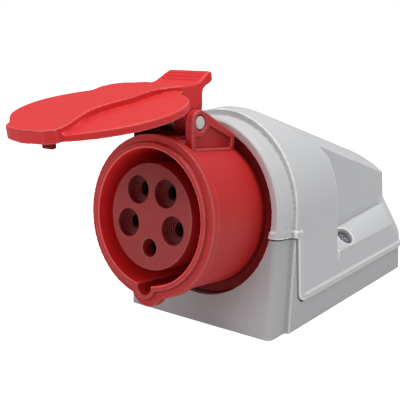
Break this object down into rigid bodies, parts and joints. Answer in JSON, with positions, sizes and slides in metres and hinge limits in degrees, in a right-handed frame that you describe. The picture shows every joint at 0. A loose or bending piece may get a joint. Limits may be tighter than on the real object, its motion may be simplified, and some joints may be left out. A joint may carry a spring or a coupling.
{
  "type": "industrial wall socket",
  "caption": "Surface-mounted five-pole industrial socket outlet with a tilted round mouth, keyed sleeve, stepped contact insert and hinged lid on an arched two-part housing.",
  "frame": {"origin": "middle of the wall face, which is the bottom of the lying housing", "axes": "+Z away from the wall, -Y the side that the mouth faces, X across"},
  "size_m": [0.0908, 0.2239, 0.1157],
  "materials": {
    "housing": "light grey, fine matt",
    "base": "light grey, fine matt",
    "socket_red": "red, satin",
    "insert_red": "red, satin",
    "lid_red": "bright red, satin",
    "seal": "black",
    "screw": "zinc plated",
    "pin": "light grey",
    "spring": "bright",
    "contact": "turned, plain",
    "retainer": "black",
    "gland": "light grey"
  },
  "bodies": {
    "housing": {"housing_base": "base", "housing_cover": "housing", "cover_screws": "screw", "cover_seal": "seal", "socket_body": "socket_red", "contact_carrier": "insert_red", "contact_face": "insert_red", "hinge_pin": "pin", "hinge_spring": "spring", "flange_seal": "seal", "earth_sleeve": "contact", "phase_sleeve_1": "contact", "phase_sleeve_2": "contact", "phase_sleeve_3": "contact", "neutral_sleeve": "contact", "sleeve_springs": "spring", "terminal_screws": "screw", "contact_retainer": "retainer", "centre_screw": "screw", "carrier_screws": "screw", "gland_body": "gland", "gland_seal": "seal", "gland_cap": "gland", "gland_locknut": "gland"},
    "lid": {"lid": "lid_red", "lid_seal": "seal"}
  },
  "joints": [
    {"name": "lid_hinge", "type": "hinge", "parent": "housing", "child": "lid", "pos_m": [0, -0.06968, 0.09575], "axis": [-1, 0, 0], "range_deg": [-76.5, 30]}
  ]
}
